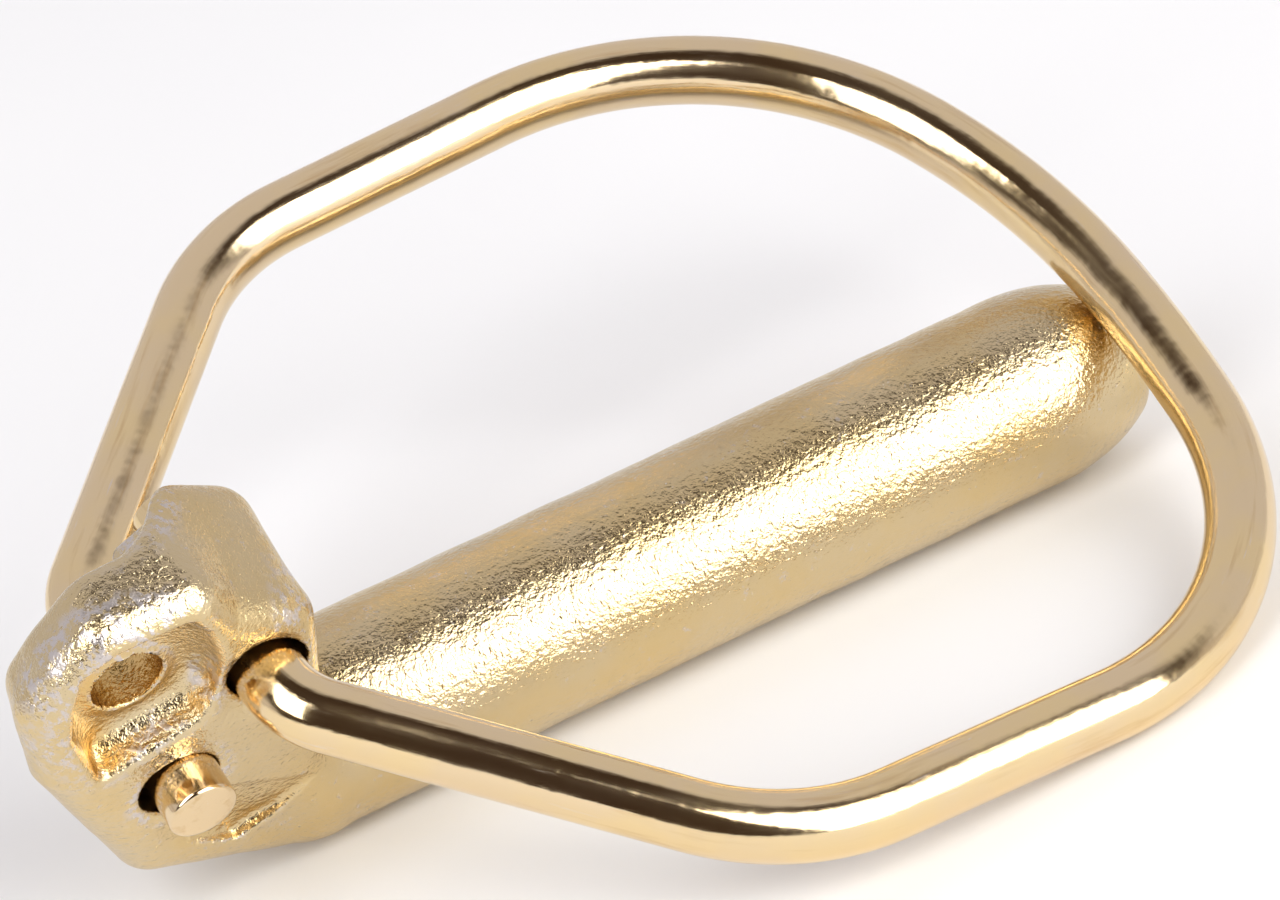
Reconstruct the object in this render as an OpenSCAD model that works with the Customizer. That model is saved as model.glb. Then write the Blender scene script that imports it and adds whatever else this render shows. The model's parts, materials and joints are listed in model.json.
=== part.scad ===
// Lynch pin: a cast shank with a raised head, and a bent spring-wire ring.
// The ring's two legs pass through two offset holes in the head. Closed, the
// ring lies across the shank near its tip and keeps the pin from pulling out.
//
// Shapes are drawn upright: the shank's axis is X with the tip at +X, its
// shoulder is at x = 0, and the head rises along Z. Everything is then rolled
// about the shank until the side of the ring meets the floor, as the pin lies
// on a bench.

/* [Shank] */
// Diameter of the shank
shank_d = 10; // [8:0.5:14]
// Length from the head's shoulder to the end of the nose
shank_length = 47; // [40:1:70]
// Length of the rounded nose
nose_length = 6; // [3:0.5:8]
// Diameter of the flat on the end of the nose
nose_flat_d = 6; // [2:0.2:6.4]

/* [Head] */
// Thickness of the head across the two faces
head_thickness = 9; // [8:0.25:12]
// Height of the head's crown above the shank's axis, at its near face
head_height = 21.5; // [21.5:0.25:27]
// Distance from the shoulder back to the rear of the head
head_back = 15.2; // [15.2:0.2:19]
// Radius of the rounded edges of the head
head_edge_r = 2; // [1:0.25:2.5]
// Thickness of the thin rear web, measured from the near face
web_thickness = 4.7; // [4:0.1:6]

/* [Leg holes] */
// Diameter of the two holes that the ring's legs pass through
leg_hole_d = 4.5; // [4.2:0.1:5.5]
// Distance of the upper hole behind the shoulder
upper_hole_back = 2.8; // [2.8:0.1:3.6]
// Height of the upper hole above the shank's axis
upper_hole_height = 13.4; // [12.5:0.1:15]
// Distance of the lower hole behind the upper one
hole_step_back = 5.4; // [5:0.1:6.2]
// Distance of the lower hole below the upper one
hole_step_down = 5.5; // [5:0.1:6.2]
// Depth of the countersink at each mouth
countersink = 0.5; // [0.2:0.1:0.8]

/* [Pocket and tether hole] */
// Depth of the pocket in the near face
pocket_depth = 2; // [1:0.1:3]
// Diameter of the small tether hole in the pocket's floor
tether_hole_d = 3.6; // [2:0.1:4]
// Height of the raised lip around the tether hole
tether_lip_height = 0.3; // [0.2:0.1:0.8]
// Depth of the shallow run-out beside the lower hole
runout_depth = 0.8; // [0.3:0.1:1]

/* [Ring] */
// Diameter of the spring wire
wire_d = 3.5; // [3:0.1:3.8]
// How far each leg stands past the opposite face
stub_length = 2; // [1:0.25:3]
// Play between the wire and the wall of its hole, on the tight side
leg_gap = 0.15; // [0.1:0.05:0.3]
// Gap between the closed ring and the nose it lies on
rest_gap = 0.1; // [0.05:0.05:0.3]
// Distance from the end of the nose back to the middle of the ring's wire
ring_tip_back = 1; // [0.5:0.1:8]
// Slant of the ring's tip from straight across the shank
tip_slant = 3; // [0:0.5:6]
// Centreline radius of the bend where each leg leaves the head
leg_bend_r = 4; // [3.5:0.25:5]

/* [Ring, near half] */
// Distance from the near face out to the corner of the leg's bend
near_bend_out = 1.7; // [1.7:0.05:2.5]
// Angle between the near shoulder and the ring's length
near_shoulder_angle = 43.4; // [40:0.1:48]
// Length of the near shoulder
near_shoulder = 24.3; // [20:0.1:30]
// Centreline radius of the near corner
near_corner_r = 12.5; // [8:0.5:14]
// Angle between the near side and the ring's length
near_side_angle = -2.5; // [-5:0.5:5]
// Turn of the near half's tighter tip arc
near_arc_turn = 84; // [50:1:85]
// Radius of the near half's flatter tip arc over that of its tighter one
near_arc_ratio = 4.8; // [1:0.1:6]

/* [Ring, far half] */
// Distance from the far face out to the corner of the leg's bend
far_bend_out = 2.3; // [1.7:0.05:2.5]
// Angle between the far shoulder and the ring's length
far_shoulder_angle = 45.7; // [40:0.1:48]
// Length of the far shoulder
far_shoulder = 22.3; // [20:0.1:28]
// Centreline radius of the far corner
far_corner_r = 11; // [8:0.5:14]
// Angle between the far side and the ring's length
far_side_angle = 4; // [-5:0.5:5]
// Turn of the far half's tighter tip arc
far_arc_turn = 70; // [50:1:80]
// Radius of the far half's flatter tip arc over that of its tighter one
far_arc_ratio = 1.8; // [1:0.1:6]

/* [Hidden] */
$fn = 96;
nose_facets = 360;
head_facets = 20;
wire_facets = 28;
wire_chamfer = 0.2;
bend_step = 5; // most degrees between two stations of a bend
cut = 0.5; // overrun of a cut past the face it starts from

shank_r = shank_d / 2;
wire_r = wire_d / 2;
half_head = head_thickness / 2;

// The nose is an arc tangent to the shank, ending in a small flat.
nose_rise = (shank_d - nose_flat_d) / 2;
nose_arc_r = (pow(nose_length, 2) + pow(nose_rise, 2)) / (2 * nose_rise);
nose_start = shank_length - nose_length;

// Hole centres as [x, z] on the head's faces.
upper_hole = [-upper_hole_back, upper_hole_height];
lower_hole = upper_hole - [hole_step_back, hole_step_down];
hole_step = norm([hole_step_back, hole_step_down]);
toward_upper = [hole_step_back, hole_step_down] / hole_step;

// The ring's spring draws its legs towards each other, so each stands off its
// hole's centre and leaves only leg_gap at the wall.
leg_shift = leg_hole_d / 2 - wire_r - leg_gap;
near_leg = upper_hole - leg_shift * toward_upper;
far_leg = lower_hole + leg_shift * toward_upper;

// Where the closed ring's wire crosses the shank's centreline.
ring_tip_x = shank_length - ring_tip_back;
nose_centre_z = shank_r - nose_arc_r;
nose_reach = nose_arc_r + wire_r + rest_gap;
ring_tip_z = ring_tip_x <= nose_start
    ? shank_r + wire_r + rest_gap
    : nose_centre_z + sqrt(pow(nose_reach, 2) - pow(ring_tip_x - nose_start, 2));

// Directions in the plane of one half of the ring: u along it, v outwards.
function ahead(a) = [cos(a), sin(a)];
function left(a) = [-sin(a), cos(a)];

// One half of the ring as [corner 1, corner 2, side end, arc radius 1, arc radius 2].
// The side's length and the arc's radius follow from where the half has to end:
// u = reach on the ring's centreline, with the heading tip_a.
function half_shape(bend_v, sh_a, sh_l, side_a, turn, ratio, reach, tip_a) =
    let (c1 = [0, bend_v])
    let (c2 = c1 + sh_l * ahead(sh_a))
    let (mid_a = side_a - turn)
    let (arcs = left(mid_a) - left(side_a) + ratio * (left(tip_a) - left(mid_a)))
    let (way = ahead(side_a))
    let (to_go = [reach, 0] - c2)
    let (det = way[0] * arcs[1] - way[1] * arcs[0])
    let (side_l = (to_go[0] * arcs[1] - to_go[1] * arcs[0]) / det)
    let (arc_r = (way[0] * to_go[1] - way[1] * to_go[0]) / det)
    [c1, c2, c2 + side_l * way, arc_r, ratio * arc_r];

// Pitch and length of the half-plane from a leg at [x, z] down to the tip.
function half_pitch(leg) = atan2(leg[1] - ring_tip_z, ring_tip_x - leg[0]);
function half_reach(leg) = norm([ring_tip_x - leg[0], leg[1] - ring_tip_z]);

near_tip_angle = -90 - tip_slant;
far_tip_angle = -90 + tip_slant;
near_shape = half_shape(half_head + near_bend_out, near_shoulder_angle, near_shoulder,
    near_side_angle, near_arc_turn, near_arc_ratio, half_reach(near_leg), near_tip_angle);
far_shape = half_shape(half_head + far_bend_out, far_shoulder_angle, far_shoulder,
    far_side_angle, far_arc_turn, far_arc_ratio, half_reach(far_leg), far_tip_angle);

// Roll about the shank that brings the near side's wire down to the floor: the
// smallest angle that any point along the first half of its tip arc asks for.
function arc_point(shape, side_a, t) = shape[2] + shape[3] * (left(side_a - t) - left(side_a));
function floor_angle(p) =
    let (height = near_leg[1] - p[0] * sin(half_pitch(near_leg)))
    atan2(height, p[1]) + asin((shank_r - wire_r) / norm([height, p[1]]));
roll = min([for (t = [0:1:near_arc_turn / 2]) floor_angle(arc_point(near_shape, near_side_angle, t))]);

// ---- Ring ----

// Points along a right-hand bend as [u, v, heading], without its first one.
function bend(start, a, bend_r, turn) =
    let (steps = max(2, ceil(turn / bend_step)))
    let (centre = start - bend_r * left(a))
    [for (i = [1:steps])
        let (h = a - turn * i / steps)
        [each centre + bend_r * left(h), h]];

// Centreline of one half, from the cut end of its leg to the tip.
function half_path(shape, sh_a, corner_r, side_a, turn, tip_a) =
    let (leg_t = leg_bend_r * tan((90 - sh_a) / 2))
    let (corner_t = corner_r * tan((sh_a - side_a) / 2))
    let (leg_end = -half_head - stub_length)
    let (leg_stop = shape[0] - [0, leg_t])
    let (shoulder_stop = shape[1] - corner_t * ahead(sh_a))
    let (mid_a = side_a - turn)
    let (arc_end = shape[2] + shape[3] * (left(mid_a) - left(side_a)))
    [
        [0, leg_end, 90],
        [0, leg_end + wire_chamfer, 90],
        [each leg_stop, 90],
        each bend(leg_stop, 90, leg_bend_r, 90 - sh_a),
        [each shoulder_stop, sh_a],
        each bend(shoulder_stop, sh_a, corner_r, sh_a - side_a),
        [each shape[2], side_a],
        each bend(shape[2], side_a, shape[3], turn),
        each bend(arc_end, mid_a, shape[4], mid_a - tip_a)
    ];

// The wire's round section at one station; side is -1 on the near half.
function section(station, leg, side, r) =
    let (pitch = half_pitch(leg))
    let (out = left(station[2]))
    [for (k = [0:wire_facets - 1])
        let (t = 360 * k / wire_facets)
        let (u = station[0] + r * cos(t) * out[0])
        let (v = station[1] + r * cos(t) * out[1])
        let (w = r * sin(t))
        [leg[0] + u * cos(pitch) + w * sin(pitch), side * v, leg[1] - u * sin(pitch) + w * cos(pitch)]];

function half_sections(path, leg, side) =
    [for (i = [0:len(path) - 1]) section(path[i], leg, side, i == 0 ? wire_r - wire_chamfer : wire_r)];

function flipped(list) = [for (i = [len(list) - 1:-1:0]) list[i]];

module ring_wire() {
    near = half_sections(half_path(near_shape, near_shoulder_angle, near_corner_r,
        near_side_angle, near_arc_turn, near_tip_angle), near_leg, -1);
    far = half_sections(half_path(far_shape, far_shoulder_angle, far_corner_r,
        far_side_angle, far_arc_turn, far_tip_angle), far_leg, 1);
    // Both halves end at the tip, so the near half's last section is left out.
    sections = [each [for (i = [0:len(near) - 2]) near[i]], each flipped(far)];
    last = len(sections) - 1;
    n = wire_facets;
    walls = [for (i = [0:last - 1], k = [0:n - 1])
        [i * n + k, i * n + (k + 1) % n, (i + 1) * n + (k + 1) % n, (i + 1) * n + k]];
    caps = [[for (k = [n - 1:-1:0]) k], [for (k = [0:n - 1]) last * n + k]];
    polyhedron(points = [for (ring = sections) each ring], faces = [each walls, each caps]);
}

module ring() {
    color("goldenrod") rotate([roll, 0, 0]) ring_wire();
}

// ---- Pin ----

module shank() {
    rotate([0, 90, 0]) {
        cylinder(h = nose_start, r = shank_r);
        translate([0, 0, nose_start])
            rotate_extrude()
                intersection() {
                    translate([shank_r - nose_arc_r, 0])
                        circle(r = nose_arc_r, $fn = nose_facets);
                    square([shank_r, nose_length]);
                }
    }
    sphere(r = shank_r);
}

// The head's outermost lines, drawn in by the edge radius.
shoulder_lap = 0.2; // how far the front wall stands past the shoulder
crown_back = 3.4; // from the upper hole back to the front end of the crown
head_top = head_height - head_edge_r;
head_rear = -head_back + head_edge_r;
head_front = shoulder_lap - head_edge_r;
crown_front = -upper_hole_back - crown_back;

// Corners of the near face as [x, z], drawn in likewise.
near_outline = [
    [crown_front, head_top - 0.1], // crown, front end
    [head_rear + 2.7, head_top], // crown, rear end
    [head_rear + 1.2, head_top - 1.3], // rear bevel
    [head_rear, head_top - 3], // rear wall, top
    [head_rear + 0.4, lower_hole[1] + 4], // rear wall, foot
    [head_rear + 3.9, head_edge_r + 0.3], // sole, rear end
    [head_front - 1.1, head_edge_r - 2.9], // sole, under the shoulder
    [head_front, head_edge_r - 3.3], // front wall, foot
    [head_front - 0.2, head_top - 4.4], // front wall, top
    [head_front - 2.3, head_top - 2.5] // front bevel
];

// The same corners on the far face, which the casting's draft makes smaller.
far_outline = [
    [crown_front - 0.9, head_top + 0.2],
    [head_rear + 3.6, head_top + 0.1],
    [head_rear + 1.6, head_top - 2.2],
    [head_rear + 0.8, head_top - 3.4],
    [head_rear + 1.2, lower_hole[1] + 5.2],
    [head_rear + 4.1, head_edge_r + 0.1],
    [head_front - 1.1, head_edge_r - 2.9],
    [head_front, head_edge_r - 3.3],
    [head_front - 0.5, head_top - 3.4],
    [head_front - 2.8, head_top - 1.7]
];

// Centre of the tether hole, set back and up from the lower leg hole.
tether_hole = lower_hole + [-1.3, 7.5];

// The head's upper rear is a thin web round the tether hole: its far side is
// cut back to web_far, above the lower leg hole and behind a step.
web_far = -half_head + web_thickness;
step_ahead = 0.6; // from the tether hole's wall forward to the step
step_clear = 0.3; // from a leg hole's mouth up to the step over it
step_x = tether_hole[0] + tether_hole_d / 2 + step_ahead;
step_z = lower_hole[1] + leg_hole_d / 2 + countersink + step_clear;
step_r = 1.5;

// Above the upper leg hole the step slants forward towards the far face.
step_slant = 2.8; // how much further forward it is at the far face
slant_foot = upper_hole[1] + leg_hole_d / 2 + countersink + step_clear;

// The rounded corners of one face of the head; side is -1 for the near face.
module head_face(outline, side) {
    for (p = outline)
        translate([p[0], side * (half_head - head_edge_r), p[1]])
            sphere(r = head_edge_r, $fn = head_facets);
}

module head_body() {
    difference() {
        hull() {
            head_face(near_outline, -1);
            head_face(far_outline, 1);
        }
        translate([0, head_thickness, 0])
            rotate([90, 0, 0])
                linear_extrude(head_thickness - web_far) {
                    translate([step_x - head_back, step_z + step_r])
                        square([head_back, head_height]);
                    translate([step_x - head_back, step_z])
                        square([head_back - step_r, head_height]);
                    translate([step_x - step_r, step_z + step_r])
                        circle(r = step_r);
                }
        translate([step_x, 0, slant_foot])
            linear_extrude(head_height)
                polygon([
                    [-cut, web_far],
                    [0, web_far],
                    [step_slant, half_head],
                    [step_slant, half_head + cut],
                    [-cut, half_head + cut]
                ]);
    }
}

// A hole right through the head along Y, countersunk at both mouths.
module leg_hole(at) {
    reach = half_head + 2 * cut;
    translate([at[0], 0, at[1]])
        rotate([90, 0, 0]) {
            cylinder(h = 2 * reach, r = leg_hole_d / 2, center = true);
            for (end = [0, 1])
                mirror([0, 0, end])
                    translate([0, 0, half_head - countersink])
                        cylinder(h = 2 * countersink, r1 = leg_hole_d / 2,
                            r2 = leg_hole_d / 2 + 2 * countersink);
        }
}

// The pocket's outermost lines, set about the tether hole and the head's top.
pocket_rim = 1.3; // metal left above the pocket
pocket_left = tether_hole[0] - 3.6;
pocket_right = tether_hole[0] + 4.1;
pocket_low = tether_hole[1] - 4.3;
pocket_high = head_height - pocket_rim;

// Corners of the pocket as [x, z].
pocket_outline = [
    [pocket_left + 0.9, pocket_low], // lower edge, rear end
    [pocket_right - 1.6, pocket_low + 1.2], // lower edge, front end
    [pocket_right - 0.3, pocket_low + 2.6], // front edge, foot
    [pocket_right, pocket_low + 4.2], // front edge, middle
    [pocket_right - 0.2, pocket_high - 1.7], // front edge, top
    [pocket_right - 0.8, pocket_high], // upper edge, front end
    [pocket_left + 2.5, pocket_high], // upper edge, rear end
    [pocket_left + 0.9, pocket_high - 0.9], // rear bevel
    [pocket_left + 0.2, pocket_high - 2.6], // rear edge, top
    [pocket_left, pocket_low + 4.1] // rear edge, foot
];

module pocket() {
    translate([0, -half_head + pocket_depth, 0])
        rotate([90, 0, 0])
            linear_extrude(pocket_depth + cut)
                polygon(pocket_outline);
}

// Raised lip on the pocket's floor around the tether hole, wider at its foot.
lip_foot = 0.9;
lip_crest = 0.5;

module tether_lip() {
    translate([tether_hole[0], -half_head + pocket_depth + cut, tether_hole[1]])
        rotate([90, 0, 0])
            cylinder(h = tether_lip_height + cut, r1 = tether_hole_d / 2 + lip_foot,
                r2 = tether_hole_d / 2 + lip_crest);
}

module tether_bore() {
    translate([tether_hole[0], half_head, tether_hole[1]])
        rotate([90, 0, 0])
            cylinder(h = head_thickness + cut, r = tether_hole_d / 2);
}

// Shallow drop-shaped run-out where the near face meets the shank: a round
// part under the lower hole, drawn out to a point on the shank.
runout_end = [-0.9, 3.1];
runout_centre = lower_hole + [1.5, -2.6];
runout_r = 3;
runout_upper_side = 56; // direction from the centre to where the drop's upper side starts
runout_lower_side = -104;

module runout() {
    translate([0, -half_head + runout_depth, 0])
        rotate([90, 0, 0])
            linear_extrude(head_thickness, convexity = 4) {
                translate(runout_centre)
                    circle(r = runout_r);
                polygon([
                    runout_centre + runout_r * ahead(runout_upper_side),
                    runout_end,
                    runout_centre + runout_r * ahead(runout_lower_side)
                ]);
            }
}

module pin() {
    color("khaki") rotate([roll, 0, 0])
        difference() {
            union() {
                difference() {
                    union() {
                        shank();
                        head_body();
                    }
                    pocket();
                    runout();
                }
                tether_lip();
            }
            tether_bore();
            leg_hole(upper_hole);
            leg_hole(lower_hole);
        }
}

pin();
ring();
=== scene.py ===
"""Lynch pin: the cast pin and the bent wire ring in detail, with their zinc plating.

Shapes are worked out in millimetres in the upright frame that the part's source
draws in (the shank's axis is X, the head rises along Z, its near face is at -Y).
upright_to_row() then rolls them about the shank and scales them to metres.
"""

import json
import math

import bpy
import numpy as np
from mathutils import Matrix, Vector


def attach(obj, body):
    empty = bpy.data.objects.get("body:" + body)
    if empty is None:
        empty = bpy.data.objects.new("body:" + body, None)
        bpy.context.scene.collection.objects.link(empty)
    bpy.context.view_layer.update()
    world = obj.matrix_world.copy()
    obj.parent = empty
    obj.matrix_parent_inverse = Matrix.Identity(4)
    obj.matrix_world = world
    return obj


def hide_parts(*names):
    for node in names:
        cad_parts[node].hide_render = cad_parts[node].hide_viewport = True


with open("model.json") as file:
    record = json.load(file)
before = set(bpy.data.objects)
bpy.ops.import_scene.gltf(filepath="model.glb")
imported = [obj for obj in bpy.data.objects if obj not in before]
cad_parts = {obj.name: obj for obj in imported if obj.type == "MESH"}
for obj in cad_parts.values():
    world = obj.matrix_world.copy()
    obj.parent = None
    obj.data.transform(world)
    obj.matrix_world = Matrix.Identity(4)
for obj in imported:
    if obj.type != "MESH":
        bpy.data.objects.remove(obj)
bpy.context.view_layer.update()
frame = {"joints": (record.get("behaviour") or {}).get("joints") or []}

MM = 0.001

# The hinge's axis is the head's cross direction, -Y before the roll.
hinge_axis = frame["joints"][0]["axis"]
ROLL = math.atan2(-hinge_axis[2], -hinge_axis[1])

# ---- Sizes of the part, in millimetres ----
SHANK_R = 5.0
SHANK_END = 47.0
NOSE_START = 41.0
NOSE_FLAT_R = 3.0
SHANK_REAR = 3.2  # how far the rounded rear of the shank reaches behind x = 0
HALF_HEAD = 4.5
EDGE_R = 2.0
WEB_FAR = 0.2
STEP_AHEAD = 0.6  # from the tether hole forward to the step in front of the web
STEP_CLEAR = 0.8  # from the lower hole up to the step over it
STEP_SLANT = 2.8  # how far the step leans forward near the head's top
SLANT_FOOT = 15.2
SLANT_RISE = 1.6
HOLE_R = 2.25
LOWER_HOLE = (-8.2, 7.9)
# The bores as seen: tighter round the legs than the CAD's 4.5 mm holes.
UPPER_BORE = (-2.93, 13.24)
UPPER_BORE_R = 1.92
LOWER_BORE = (-8.2, 7.98)
LOWER_BORE_R = 2.05
DISH_CENTRE = (-3.3, 13.7)
TETHER_HOLE = (-9.5, 15.4)
TETHER_R = 1.8
POCKET_FLOOR = -2.5
POCKET_DRAFT = 0.16  # how much the pocket narrows for each millimetre of depth
RAMP_HEIGHT = 1.4
LIP_HEIGHT = 0.22
WIRE_R = 1.75
STUB = 2.0
FLOOR_Z = -5.0


def upright_to_row(points):
    """Points in the upright frame, in millimetres, rolled about X and scaled to metres."""
    c, s = math.cos(ROLL), math.sin(ROLL)
    p = np.asarray(points, float)
    rolled = np.stack(
        [p[..., 0], p[..., 1] * c - p[..., 2] * s, p[..., 1] * s + p[..., 2] * c], -1
    )
    return rolled * MM


# ---- Smooth distance-field tools ----
def smooth_min(a, b, k):
    h = np.maximum(k - np.abs(a - b), 0.0) / k
    return np.minimum(a, b) - h * h * k / 4


def smooth_max(a, b, k):
    return -smooth_min(-a, -b, k)


def polygon_distance(px, pz, corners):
    """Signed distance to a closed outline in the XZ plane, negative inside."""
    best = np.full(px.shape, 1e9)
    inside = np.zeros(px.shape, bool)
    count = len(corners)
    for i in range(count):
        ax, az = corners[i]
        bx, bz = corners[(i + 1) % count]
        ex, ez = bx - ax, bz - az
        wx, wz = px - ax, pz - az
        t = np.clip((wx * ex + wz * ez) / (ex * ex + ez * ez), 0, 1)
        best = np.minimum(best, (wx - ex * t) ** 2 + (wz - ez * t) ** 2)
        crosses = (az > pz) != (bz > pz)
        if bz != az:
            inside ^= crosses & (px < ex * (pz - az) / (bz - az) + ax)
    return np.where(inside, -1, 1) * np.sqrt(best)


def lattice_noise(points, size, seed):
    """Smooth random values in about -1 to 1, one for each point, with features of that size."""
    p = points / size
    cell = np.floor(p).astype(np.int64)
    f = p - cell
    f = f * f * (3 - 2 * f)
    total = np.zeros(len(p))
    for corner in range(8):
        d = np.array([corner & 1, corner >> 1 & 1, corner >> 2 & 1])
        q = (cell + d).astype(np.uint64)
        h = q[:, 0] * np.uint64(73856093) ^ q[:, 1] * np.uint64(19349663)
        h = h ^ q[:, 2] * np.uint64(83492791) ^ np.uint64(seed * 2654435761)
        h = (h ^ (h >> np.uint64(13))) * np.uint64(1274126177)
        h = h ^ (h >> np.uint64(16))
        value = (h % np.uint64(65536)).astype(float) / 32768 - 1
        total += value * np.prod(np.where(d, f, 1 - f), 1)
    return total


# ---- The pin's shape ----
NEAR_OUTLINE = [
    (-6.4, 19.4),
    (-10.5, 19.5),
    (-12.0, 18.2),
    (-13.2, 16.5),
    (-12.8, 11.9),
    (-9.3, 2.3),
    (-2.9, -0.9),
    (-1.8, -1.3),
    (-2.0, 14.9),
    (-2.7, 15.7),
    (-5.3, 17.6),
]
FAR_OUTLINE = [
    (-7.1, 19.7),
    (-9.6, 19.6),
    (-11.6, 17.3),
    (-12.4, 16.1),
    (-12.0, 13.1),
    (-9.1, 2.1),
    (-2.9, -0.9),
    (-1.8, -1.3),
    (-2.3, 16.1),
    (-4.6, 17.8),
]
# The pocket's outline, drawn in by the radius of its corners.
POCKET_CORNER_R = 0.6
POCKET_OUTLINE = [
    (-11.6, 11.8),
    (-7.2, 12.85),
    (-6.2, 13.95),
    (-6.0, 15.4),
    (-6.2, 18.4),
    (-6.7, 19.6),
    (-10.4, 19.6),
    (-11.8, 18.85),
    (-12.3, 17.4),
    (-12.5, 15.3),
]
RUNOUT_OUTLINE = [
    (-1.2, 3.5),
    (-6.2, 6.2),
    (-9.6, 5.2),
    (-9.4, 3.4),
    (-5.6, 1.1),
    (-3.2, 1.9),
]


def shank_field(x, y, z):
    radial = np.sqrt(y * y + z * z)
    rise = SHANK_R - NOSE_FLAT_R
    length = SHANK_END - NOSE_START
    arc_r = (length * length + rise * rise) / (2 * rise)
    past = np.maximum(x - NOSE_START, 0)
    body = np.hypot(past, np.maximum(radial - SHANK_R + arc_r, 0)) - arc_r
    nose = smooth_max(body, x - SHANK_END, 0.9)
    behind = np.minimum(x, 0) * SHANK_R / SHANK_REAR
    return np.where(x < 0, np.sqrt(radial**2 + behind**2) - SHANK_R, nose)


def head_field(x, y, z):
    # The near face's outline passes into the far face's smaller one.
    inner = HALF_HEAD - EDGE_R
    t = 1 - (1 - np.clip((y + inner) / (2 * inner), 0, 1)) ** 2
    flat = (1 - t) * polygon_distance(x, z, NEAR_OUTLINE) + t * polygon_distance(x, z, FAR_OUTLINE)
    across = np.abs(y) - inner
    body = np.hypot(np.maximum(flat, 0), np.maximum(across, 0))
    body = body + np.minimum(np.maximum(flat, across), 0) - EDGE_R
    # The far side of the thin rear web, whose step slants forward near the top.
    high = np.clip((z - SLANT_FOOT) / SLANT_RISE, 0, 1)
    slant = STEP_SLANT * high * np.clip((y - WEB_FAR) / (HALF_HEAD - WEB_FAR), 0, 1)
    step_x = TETHER_HOLE[0] + TETHER_R + STEP_AHEAD + slant
    step_z = LOWER_HOLE[1] + HOLE_R + STEP_CLEAR
    corner = smooth_max(x - step_x, step_z - z, 2.5)
    step = smooth_max(WEB_FAR - y, corner, 1.6)
    return smooth_max(body, -step, 1.2)


def pocket_field(x, y, z):
    depth = y + HALF_HEAD
    wall = polygon_distance(x, z, POCKET_OUTLINE) - POCKET_CORNER_R
    wall = wall + POCKET_DRAFT * np.clip(depth, 0, 4)
    lip = np.abs(np.hypot(x - TETHER_HOLE[0], z - TETHER_HOLE[1]) - TETHER_R - 0.1)
    # The floor climbs to the upper front corner, and has a lip round the tether hole.
    ramp = RAMP_HEIGHT * np.clip((x + 0.55 * z - 1.3) / 3.4, 0, 1) ** 1.6
    raised = ramp + LIP_HEIGHT * np.clip(1 - lip / 0.7, 0, 1) ** 1.3
    return smooth_max(wall, y - POCKET_FLOOR + raised, 1.1)


def runout_field(x, y, z):
    wall = polygon_distance(x, z, RUNOUT_OUTLINE)
    # The recess deepens from its upper line to its lower lip, and fades out at its rear.
    (ax, az), (bx, bz) = RUNOUT_OUTLINE[0], RUNOUT_OUTLINE[1]
    run = math.hypot(bx - ax, bz - az)
    below = ((x - ax) * (bz - az) - (z - az) * (bx - ax)) / run
    deep = 0.1 + 0.17 * np.clip(-below, 0, 3)
    fade = np.clip((x + 10.0) / 4, 0, 1)
    return smooth_max(wall, y + HALF_HEAD - deep * fade, 0.4)


def bore_field(x, z, centre, radius):
    return np.hypot(x - centre[0], z - centre[1]) - radius


def pin_field(x, y, z):
    """Distance to the pin's surface, negative inside the metal."""
    body = smooth_min(shank_field(x, y, z), head_field(x, y, z), 1.6)
    body = smooth_max(body, -pocket_field(x, y, z), 0.5)
    body = smooth_max(body, -runout_field(x, y, z), 0.2)
    body = smooth_max(body, -bore_field(x, z, TETHER_HOLE, TETHER_R), 0.2)
    # The upper hole's mouth is dished towards the crown.
    dish = bore_field(x, z, DISH_CENTRE, 1.8 + 2.2 * np.clip(-3.95 - y, 0, 0.7))
    body = smooth_max(body, -dish, 0.3)
    body = smooth_max(body, -bore_field(x, z, UPPER_BORE, UPPER_BORE_R), 0.25)
    return smooth_max(body, -bore_field(x, z, LOWER_BORE, LOWER_BORE_R), 0.3)


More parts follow.
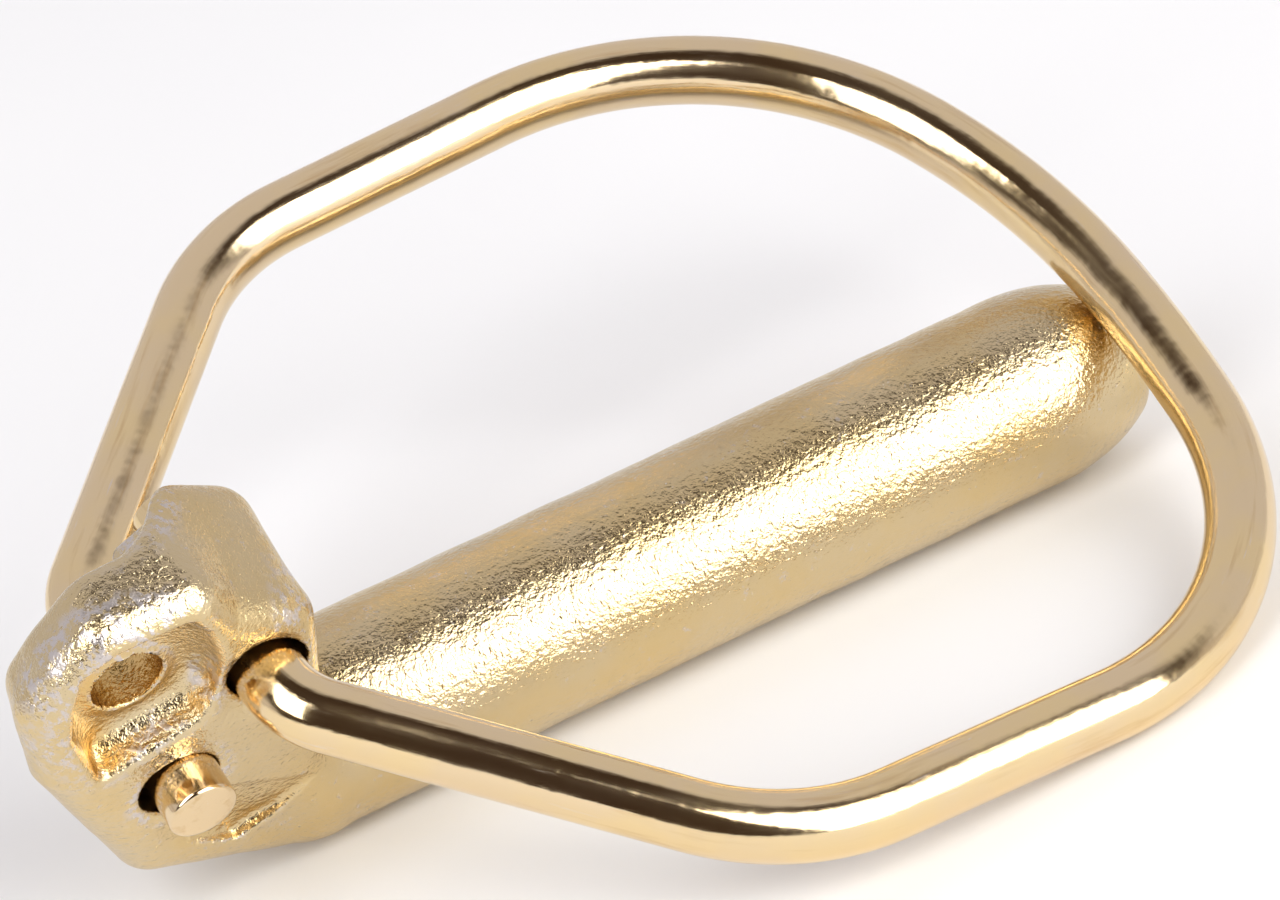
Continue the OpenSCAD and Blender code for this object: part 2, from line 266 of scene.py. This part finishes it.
def surface_net(field, low, high, step):
    """Quads round the zero level of a field sampled on a grid: (vertices, faces)."""
    axes = [np.arange(low[i], high[i] + step, step) for i in range(3)]
    grid = np.meshgrid(*axes, indexing="ij")
    values = field(*grid)
    solid = values < 0
    cells = tuple(n - 1 for n in solid.shape)
    place = np.zeros(cells + (3,))
    hits = np.zeros(cells)
    for axis in range(3):
        lower = [slice(None)] * 3
        upper = [slice(None)] * 3
        lower[axis] = slice(None, -1)
        upper[axis] = slice(1, None)
        va, vb = values[tuple(lower)], values[tuple(upper)]
        cross = solid[tuple(lower)] != solid[tuple(upper)]
        t = np.where(cross, va / np.where(cross, va - vb, 1), 0)
        others = [a for a in range(3) if a != axis]
        for s in range(4):
            shift = [0, 0, 0]
            shift[others[0]] = s & 1
            shift[others[1]] = s >> 1
            pick = tuple(
                slice(shift[a], shift[a] + cells[a]) if a != axis else slice(None)
                for a in range(3)
            )
            c = cross[pick]
            hits += c
            for a in range(3):
                place[..., a] += c * (t[pick] if a == axis else shift[a])
    used = hits > 0
    index = np.full(cells, -1)
    index[used] = np.arange(used.sum())
    base = np.stack(np.nonzero(used), 1)
    vertices = np.array(low) + step * (base + place[used] / hits[used][:, None])
    faces = []
    for axis in range(3):
        lower = [slice(None)] * 3
        upper = [slice(None)] * 3
        lower[axis] = slice(None, -1)
        upper[axis] = slice(1, None)
        first, second = solid[tuple(lower)], solid[tuple(upper)]
        u, v = (axis + 1) % 3, (axis + 2) % 3
        for sense, hit in ((1, first & ~second), (-1, ~first & second)):
            at = np.stack(np.nonzero(hit), 1)
            at = at[(at[:, u] > 0) & (at[:, v] > 0)]
            at = at[(at[:, u] < cells[u]) & (at[:, v] < cells[v])]
            ring = []
            for du, dv in ((1, 1), (0, 1), (0, 0), (1, 0)):
                q = at.copy()
                q[:, u] -= du
                q[:, v] -= dv
                ring.append(index[tuple(q.T)])
            quad = np.stack(ring, 1)
            faces.append(quad if sense > 0 else quad[:, ::-1])
    return vertices, np.concatenate(faces)


def gradient(field, p, h=0.02):
    g = []
    for axis in range(3):
        d = np.zeros(3)
        d[axis] = h
        g.append((field(*(p + d).T) - field(*(p - d).T)) / (2 * h))
    return np.stack(g, 1)


def new_mesh(name, vertices, faces):
    mesh = bpy.data.meshes.new(name)
    mesh.from_pydata([tuple(v) for v in vertices.tolist()], [], [tuple(f) for f in faces])
    mesh.validate()
    mesh.polygons.foreach_set("use_smooth", [True] * len(mesh.polygons))
    obj = bpy.data.objects.new(name, mesh)
    bpy.context.scene.collection.objects.link(obj)
    return obj


def add_number(obj, name, values):
    """A number for each vertex, which the object's material reads by name."""
    layer = obj.data.attributes.new(name, "FLOAT", "POINT")
    layer.data.foreach_set("value", np.asarray(values, np.float32))


def make_pin():
    step = 0.2
    low = (-16.9, -5.7, -5.7)
    high = (47.7, 5.7, 23.2)
    points, faces = surface_net(pin_field, low, high, step)
    for _ in range(3):
        g = gradient(pin_field, points)
        size = np.maximum((g * g).sum(1), 0.2)
        points = points - g * (pin_field(*points.T) / size)[:, None]
    g = gradient(pin_field, points)
    normal = g / np.linalg.norm(g, axis=1)[:, None]
    reach = 1.6
    edge = np.clip(1 + pin_field(*(points - normal * reach).T) / reach, 0, 1)
    across = 3.0
    hollow = np.clip(1 - pin_field(*(points + normal * across).T) / across, 0, 1)
    # Slow unevenness of the casting, inwards so that no face grows.
    waves = 0.035 * lattice_noise(points, 2.6, 3) + 0.02 * lattice_noise(points, 1.1, 5)
    points = points + normal * (waves - 0.04)[:, None]
    obj = new_mesh("pin_casting", upright_to_row(points), faces.tolist())
    add_number(obj, "edge", edge)
    add_number(obj, "hollow", hollow)
    return obj


# ---- The ring's path, as straight lines and arcs in the plane of each half ----
# leg: the leg's place in the head, (x, z). out: how far its line runs past the head's face.
# shoulder_a, shoulder: heading and length of the line from there to the corner.
# corner_r: the corner's bend. side_a: the heading of the long side.
# turn, ratio: the first end arc's angle, and the second one's radius as a share of its own.
# tip_a: the heading at the tip, where the halves join.
RING_TIP = (46.0, 5.74349)
HALVES = {
    "near": dict(
        leg=(-3.04521, 13.1503), side=-1, out=1.7, shoulder_a=43.4, shoulder=24.3,
        corner_r=12.5, side_a=-2.5, turn=84, ratio=4.8, tip_a=-93,
    ),
    "far": dict(
        leg=(-7.95479, 8.14975), side=1, out=2.3, shoulder_a=45.7, shoulder=22.3,
        corner_r=11, side_a=4, turn=70, ratio=1.8, tip_a=-87,
    ),
}
LEG_BEND_R = 4.0


def ahead(a):
    return np.array([math.cos(math.radians(a)), math.sin(math.radians(a))])


def left(a):
    return np.array([-math.sin(math.radians(a)), math.cos(math.radians(a))])


def half_stations(half, arc_step):
    """Stations (u, v, heading) of one half, from its leg's cut end to the tip."""
    leg = np.array(half["leg"])
    reach = math.hypot(RING_TIP[0] - leg[0], leg[1] - RING_TIP[1])
    sh_a, side_a, turn = half["shoulder_a"], half["side_a"], half["turn"]
    c1 = np.array([0, HALF_HEAD + half["out"]])
    c2 = c1 + half["shoulder"] * ahead(sh_a)
    mid_a = side_a - turn
    arcs = left(mid_a) - left(side_a) + half["ratio"] * (left(half["tip_a"]) - left(mid_a))
    side_l, arc_r = np.linalg.solve(
        np.stack([ahead(side_a), arcs], 1), np.array([reach, 0]) - c2
    )
    stations = []

    def run(start, end, a):
        count = max(1, round(np.linalg.norm(end - start) / 1.0))
        for i in range(1, count + 1):
            stations.append((*(start + (end - start) * i / count), a))

    def bend(start, a, r, by):
        centre = start - r * left(a)
        count = max(3, round(by / arc_step))
        for i in range(1, count + 1):
            h = a - by * i / count
            stations.append((*(centre + r * left(h)), h))
        return centre + r * left(a - by)

    leg_t = LEG_BEND_R * math.tan(math.radians((90 - sh_a) / 2))
    corner_t = half["corner_r"] * math.tan(math.radians((sh_a - side_a) / 2))
    cut = np.array([0, -HALF_HEAD - STUB])
    stations.append((*cut, 90))
    run(cut, c1 - [0, leg_t], 90)
    here = bend(c1 - [0, leg_t], 90, LEG_BEND_R, 90 - sh_a)
    corner = c2 - corner_t * ahead(sh_a)
    run(here, corner, sh_a)
    here = bend(corner, sh_a, half["corner_r"], sh_a - side_a)
    side_end = c2 + side_l * ahead(side_a)
    run(here, side_end, side_a)
    here = bend(side_end, side_a, arc_r, turn)
    bend(here, mid_a, half["ratio"] * arc_r, mid_a - half["tip_a"])
    return np.array(stations)


def half_frames(half, arc_step):
    """Centres, outward and upward directions of the wire along one half."""
    leg, side = np.array(half["leg"]), half["side"]
    pitch = math.atan2(leg[1] - RING_TIP[1], RING_TIP[0] - leg[0])
    c, s = math.cos(pitch), math.sin(pitch)
    st = half_stations(half, arc_step)
    h = np.radians(st[:, 2])
    centre = np.stack([leg[0] + st[:, 0] * c, side * st[:, 1], leg[1] - st[:, 0] * s], 1)
    out_u, out_v = -np.sin(h), np.cos(h)
    out = np.stack([out_u * c, side * out_v, -out_u * s], 1)
    up = np.tile([s, 0, c], (len(st), 1))
    return centre, out, up


def make_ring():
    sides = 72
    arc_step = 1.5
    near = half_frames(HALVES["near"], arc_step)
    far = half_frames(HALVES["far"], arc_step)
    centre, out, up = (
        np.concatenate([n[:-1], f[::-1]]) for n, f in zip(near, far)
    )
    length = np.r_[0, np.cumsum(np.linalg.norm(np.diff(centre, axis=0), axis=1))]
    angle = 2 * math.pi * np.arange(sides) / sides
    rings = []

    def add_ring(i, shift, radius, dish=0.0):
        along = centre[1] - centre[0] if i == 0 else centre[-1] - centre[-2]
        along = along / np.linalg.norm(along)
        circle = out[i] * np.cos(angle)[:, None] + up[i] * np.sin(angle)[:, None]
        rings.append((centre[i] + along * shift + circle * radius, length[i] + shift, radius))

    # Each cut end is slightly domed, with a small broken edge.
    dome = [(0.0, 0.3), (0.0, 1.2), (0.01, 1.5), (0.05, 1.66), (0.13, 1.73), (0.3, WIRE_R)]
    for shift, radius in dome:
        add_ring(0, shift, radius)
    for i in range(1, len(centre) - 1):
        circle = out[i] * np.cos(angle)[:, None] + up[i] * np.sin(angle)[:, None]
        rings.append((centre[i] + circle * WIRE_R, length[i], WIRE_R))
    last = len(centre) - 1
    for shift, radius in reversed(dome):
        add_ring(last, -shift, radius)
    points = np.concatenate([r[0] for r in rings])
    count = len(rings)
    faces = []
    for i in range(count - 1):
        a, b = i * sides, (i + 1) * sides
        for k in range(sides):
            n = (k + 1) % sides
            faces.append((a + k, a + n, b + n, b + k))
    faces.append(tuple(range(sides - 1, -1, -1)))
    faces.append(tuple((count - 1) * sides + k for k in range(sides)))
    obj = new_mesh("ring_wire", upright_to_row(points), faces)
    along = np.repeat([r[1] for r in rings], sides)
    add_number(obj, "along", along)
    out_share = np.repeat([r[2] / WIRE_R for r in rings], sides)
    add_number(obj, "round_cos", np.tile(np.cos(angle), count) * out_share)
    add_number(obj, "round_sin", np.tile(np.sin(angle), count) * out_share)
    return obj


# ---- Materials ----
BARE_ZINC = (0.64, 0.61, 0.64)
# Painted shade and gold-on-gold reflection, for the hollows and bores of the casting.
PAINTED_SHADE_GOLD = (0.74, 0.47, 0.15)
BRIGHT_MARK = (0.78, 0.73, 0.74)
BROWN_STRIPE = (0.62, 0.42, 0.20)
CAST_GOLDS = ((0.68, 0.52, 0.27), (0.66, 0.53, 0.32))
WIRE_GOLDS = ((0.83, 0.64, 0.35), (0.79, 0.62, 0.39))
FLOOR_WHITES = ((0.86, 0.86, 0.865), (0.88, 0.88, 0.88))


class Nodes:
    """Short ways to build a material's node tree."""

    def __init__(self, name):
        self.material = bpy.data.materials.new(name)
        self.material.use_nodes = True
        self.tree = self.material.node_tree
        self.tree.nodes.clear()
        self.out = self.new("ShaderNodeOutputMaterial")
        self.shader = self.new("ShaderNodeBsdfPrincipled")
        self.link(self.shader.outputs[0], self.out.inputs[0])

    def new(self, kind, **fields):
        node = self.tree.nodes.new(kind)
        for key, value in fields.items():
            setattr(node, key, value)
        return node

    def link(self, a, b):
        self.tree.links.new(a, b)

    def set(self, socket, value):
        if isinstance(value, bpy.types.NodeSocket):
            self.link(value, socket)
        else:
            socket.default_value = value

    def place(self):
        return self.new("ShaderNodeTexCoord").outputs["Object"]

    def number(self, name):
        return self.new("ShaderNodeAttribute", attribute_name=name).outputs["Fac"]

    def noise(self, vector, size_mm, detail=3.0, rough=0.55):
        node = self.new("ShaderNodeTexNoise")
        self.set(node.inputs["Vector"], vector)
        node.inputs["Scale"].default_value = 1.0 / (size_mm * MM)
        node.inputs["Detail"].default_value = detail
        node.inputs["Roughness"].default_value = rough
        return node.outputs["Fac"]

    def math(self, operation, a, b=0.0, clamp=False):
        node = self.new("ShaderNodeMath", operation=operation, use_clamp=clamp)
        self.set(node.inputs[0], a)
        self.set(node.inputs[1], b)
        return node.outputs[0]

    def ramp(self, value, low, high, out_low=0.0, out_high=1.0):
        node = self.new("ShaderNodeMapRange", interpolation_type="SMOOTHSTEP")
        self.set(node.inputs["Value"], value)
        node.inputs["From Min"].default_value = low
        node.inputs["From Max"].default_value = high
        node.inputs["To Min"].default_value = out_low
        node.inputs["To Max"].default_value = out_high
        return node.outputs["Result"]

    def mix(self, factor, a, b):
        node = self.new("ShaderNodeMix", data_type="RGBA")
        self.set(node.inputs[0], factor)
        for socket, value in ((node.inputs[6], a), (node.inputs[7], b)):
            if isinstance(value, bpy.types.NodeSocket):
                self.link(value, socket)
            else:
                socket.default_value = (*value, 1.0)
        return node.outputs[2]

    def bump(self, height, distance_mm, strength=1.0, normal=None):
        node = self.new("ShaderNodeBump")
        self.set(node.inputs["Height"], height)
        node.inputs["Strength"].default_value = strength
        node.inputs["Distance"].default_value = distance_mm * MM
        if normal is not None:
            self.link(normal, node.inputs["Normal"])
        return node.outputs[0]


def cast_zinc():
    """Yellow-chromated zinc over a cast surface, worn to pale zinc on the edges, with painted shade
    and gold-on-gold reflection as a darker, deeper gold in its hollows and bores.
    """
    n = Nodes("cast_gold_zinc")
    at = n.place()
    tint = n.ramp(n.noise(at, 5.0), 0.35, 0.65)
    gold = n.mix(tint, *CAST_GOLDS)
    # Painted shade and reflection: hollows and bores are tinted a darker, deeper gold. The same
    # hollow measure also keeps wear out of them.
    deep = n.ramp(n.number("hollow"), 0.3, 0.8)
    gold = n.mix(n.math("MULTIPLY", deep, 0.75), gold, PAINTED_SHADE_GOLD)
    spots = n.ramp(n.noise(at, 0.9, 6.0, 0.75), 0.59, 0.68)
    rims = n.ramp(n.number("edge"), 0.25, 0.75)
    broken = n.ramp(n.noise(at, 0.6, 5.0, 0.7), 0.47, 0.57)
    rims = n.math("MULTIPLY", rims, broken)
    worn = n.math("MAXIMUM", n.math("MULTIPLY", spots, 0.6), rims, clamp=True)
    worn = n.math("MULTIPLY", worn, n.ramp(deep, 0.0, 1.0, 0.75, 0.0))
    n.set(n.shader.inputs["Base Color"], n.mix(worn, gold, BARE_ZINC))
    n.shader.inputs["Metallic"].default_value = 1.0
    rough = n.ramp(n.noise(at, 0.7, 3.0), 0.3, 0.7, 0.17, 0.26)
    n.set(n.shader.inputs["Roughness"], n.math("ADD", rough, n.math("MULTIPLY", worn, 0.15)))
    pebble = n.noise(at, 0.30, 2.0, 0.5)
    fine = n.noise(at, 0.12, 2.0, 0.5)
    height = n.math("ADD", pebble, n.math("MULTIPLY", fine, 0.3))
    n.link(n.bump(height, 0.085, 1.0), n.shader.inputs["Normal"])
    return n.material


def wire_zinc():
    """The same plating on smooth drawn wire: glossy, with faint marks along it."""
    n = Nodes("wire_gold_zinc")
    at = n.place()
    join = n.new("ShaderNodeCombineXYZ")
    names = ("along", "round_cos", "round_sin")
    for socket, name, stretch in zip(join.inputs, names, (0.05, 1.0, 1.0)):
        n.link(n.math("MULTIPLY", n.number(name), stretch * MM), socket)
    grain = join.outputs[0]
    tint = n.ramp(n.noise(at, 6.0), 0.35, 0.65)
    gold = n.mix(tint, *WIRE_GOLDS)
    marks = n.ramp(n.noise(grain, 0.22, 4.0, 0.7), 0.62, 0.74)
    spots = n.ramp(n.noise(at, 1.3, 5.0, 0.7), 0.60, 0.70)
    worn = n.math("MULTIPLY", marks, n.math("ADD", spots, 0.45), clamp=True)
    stripes = n.ramp(n.noise(grain, 0.45, 4.0, 0.6), 0.52, 0.70, 0.0, 0.55)
    gold = n.mix(stripes, gold, BROWN_STRIPE)
    n.set(n.shader.inputs["Base Color"], n.mix(worn, gold, BRIGHT_MARK))
    n.shader.inputs["Metallic"].default_value = 1.0
    rough = n.ramp(n.noise(grain, 0.5, 3.0), 0.3, 0.7, 0.09, 0.19)
    n.set(n.shader.inputs["Roughness"], n.math("ADD", rough, n.math("MULTIPLY", worn, 0.25)))
    lines = n.noise(grain, 0.10, 3.0, 0.6)
    dents = n.noise(at, 1.6, 2.0, 0.5)
    normal = n.bump(lines, 0.006, 1.0)
    n.link(n.bump(dents, 0.03, 1.0, normal), n.shader.inputs["Normal"])
    return n.material


# ---- Pieces ----
pin = make_pin()
pin.data.materials.append(cast_zinc())
ring = make_ring()
ring.data.materials.append(wire_zinc())

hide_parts("pin")
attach(pin, "pin")
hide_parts("ring")
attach(ring, "ring")


# ---- Floor ----
def make_floor():
    half = 3.0
    z = FLOOR_Z * MM
    corners = np.array([(-half, -half, z), (half, -half, z), (half, half, z), (-half, half, z)])
    obj = new_mesh("floor", corners, [(0, 1, 2, 3)])
    n = Nodes("floor_white")
    shade = n.ramp(n.noise(n.place(), 60.0, 2.0), 0.3, 0.7)
    n.set(n.shader.inputs["Base Color"], n.mix(shade, *FLOOR_WHITES))
    n.shader.inputs["Roughness"].default_value = 0.9
    obj.data.materials.append(n.material)


make_floor()


# ---- Light ----
def direction(azimuth, elevation):
    """Unit vector towards a compass direction, in degrees from +X, and a height above the bench."""
    a, e = math.radians(azimuth), math.radians(elevation)
    return Vector((math.cos(a) * math.cos(e), math.sin(a) * math.cos(e), math.sin(e)))


def softbox(name, azimuth, elevation, wide, tall, lean, radiance, colour=(1, 1, 1)):
    """A rectangular soft light that fills wide x tall degrees of the view from the part."""
    away = 0.9
    data = bpy.data.lights.new(name, "AREA")
    data.shape = "RECTANGLE"
    data.size = 2 * away * math.tan(math.radians(wide / 2))
    data.size_y = 2 * away * math.tan(math.radians(tall / 2))
    data.energy = radiance * math.pi * data.size * data.size_y
    data.color = colour
    obj = bpy.data.objects.new(name, data)
    bpy.context.scene.collection.objects.link(obj)
    way = direction(azimuth, elevation)
    turn = way.to_track_quat("Z", "Y").to_matrix().to_4x4()
    spin = Matrix.Rotation(math.radians(lean), 4, "Z")
    obj.matrix_world = Matrix.Translation(way * away + Vector((0.015, 0, 0.005))) @ turn @ spin
    obj.visible_camera = False


SOFTBOX_RADIANCE = 5.0
softbox("softbox_right", -64, 28, wide=42, tall=54, lean=0, radiance=SOFTBOX_RADIANCE)
softbox("softbox_left", -148, 40, wide=24, tall=52, lean=-18, radiance=SOFTBOX_RADIANCE)


def make_world():
    """Studio surround: pale behind the part and dark on the camera's side."""
    world = bpy.data.worlds.new("studio")
    world.use_nodes = True
    tree = world.node_tree
    tree.nodes.clear()

    def new(kind, **fields):
        node = tree.nodes.new(kind)
        for key, value in fields.items():
            setattr(node, key, value)
        return node

    way = new("ShaderNodeTexCoord").outputs["Generated"]
    facing = new("ShaderNodeVectorMath", operation="DOT_PRODUCT")
    tree.links.new(way, facing.inputs[0])
    facing.inputs[1].default_value = direction(75, -28)
    ramp = new("ShaderNodeValToRGB")
    share = new("ShaderNodeMapRange")
    tree.links.new(facing.outputs["Value"], share.inputs["Value"])
    share.inputs["From Min"].default_value = -1.0
    share.inputs["From Max"].default_value = 1.0
    tree.links.new(share.outputs["Result"], ramp.inputs[0])
    stops = ramp.color_ramp.elements
    stops[0].position, stops[0].color = 0.27, (0.055, 0.036, 0.026, 1)
    stops[1].position, stops[1].color = 0.35, (0.71, 0.69, 0.73, 1)
    seen = new("ShaderNodeLightPath").outputs["Is Camera Ray"]
    pick = new("ShaderNodeMix", data_type="RGBA")
    tree.links.new(seen, pick.inputs[0])
    tree.links.new(ramp.outputs[0], pick.inputs[6])
    pick.inputs[7].default_value = (0.93, 0.93, 0.93, 1)
    back = new("ShaderNodeBackground")
    tree.links.new(pick.outputs[2], back.inputs[0])
    tree.links.new(back.outputs[0], new("ShaderNodeOutputWorld").inputs[0])
    bpy.context.scene.world = world


make_world()


# ---- Camera, as fitted to the photograph ----
CAMERA_TILT = 55  # degrees above the shank's near side
SHANK_SLOPE = 0.466  # of the shank's axis in the picture
CAMERA_AWAY = 321.0
FOCAL_PX = 6532
PICTURE_PX = 1280
SENSOR = 36.0
AIM_ALONG = 19.0  # the point the camera aims at: along the shank, and up in the picture
AIM_UP = 6.0


def make_camera():
    """A long lens above the near side, upright in the upright frame."""
    tilt = math.radians(CAMERA_TILT)
    slant = SHANK_SLOPE / math.sin(tilt)
    turn = math.atan(slant)
    focal_share = FOCAL_PX / PICTURE_PX
    data = bpy.data.cameras.new("camera")
    data.sensor_width = SENSOR
    data.lens = SENSOR * focal_share
    obj = bpy.data.objects.new("camera", data)
    bpy.context.scene.collection.objects.link(obj)
    ct, st, ce, se = math.cos(turn), math.sin(turn), math.cos(tilt), math.sin(tilt)
    right = np.array([ct, -st, 0])
    up = np.array([st * se, ct * se, ce])
    back = np.array([-st * ce, -ct * ce, se])
    aim = np.array([AIM_ALONG, 0, 0]) + up * AIM_UP
    spot = upright_to_row(aim + back * CAMERA_AWAY)
    axes = [Vector(upright_to_row(v) / MM) for v in (right, up, back)]
    frame_matrix = Matrix((axes[0], axes[1], axes[2])).transposed().to_4x4()
    obj.matrix_world = Matrix.Translation(Vector(spot)) @ frame_matrix
    data.clip_start = 0.01
    data.clip_end = 10.0
    bpy.context.scene.camera = obj


make_camera()
bpy.context.scene.view_settings.view_transform = "Standard"

bpy.context.view_layer.update()
